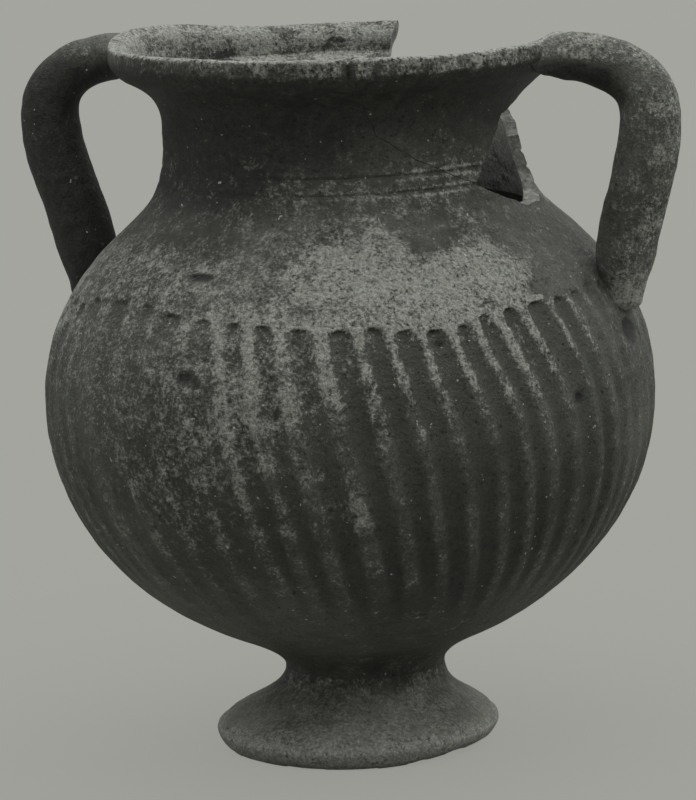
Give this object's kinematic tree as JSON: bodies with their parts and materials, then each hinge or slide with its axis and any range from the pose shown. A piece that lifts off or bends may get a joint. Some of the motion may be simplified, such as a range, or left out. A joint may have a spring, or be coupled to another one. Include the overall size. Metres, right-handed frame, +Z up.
{
  "type": "two-handled jug",
  "caption": "Fluted globular ceramic jug with a wide mended neck, looped handles from lip to shoulder and a pedestal foot, for storing and pouring.",
  "frame": {"origin": "centre of the foot's resting ring, on the surface that the jug stands on", "axes": "+Z up along the jug's axis, +X through the right handle, -Y towards the side that the picture shows"},
  "size_m": [0.2251, 0.1998, 0.2347],
  "materials": {
    "foot_ware": "dull dark grey ware with pale worn patches",
    "body_ware": "dull dark grey ware with pale speckled deposit",
    "neck_ware": "dull dark grey ware with fine wheel lines",
    "handle_ware": "dull dark grey ware, wiped smooth"
  },
  "bodies": {
    "root": {"foot": "foot_ware", "body": "body_ware", "neck": "neck_ware", "neck_sherd": "neck_ware", "right_handle": "handle_ware", "left_handle": "handle_ware"}
  },
  "joints": []
}
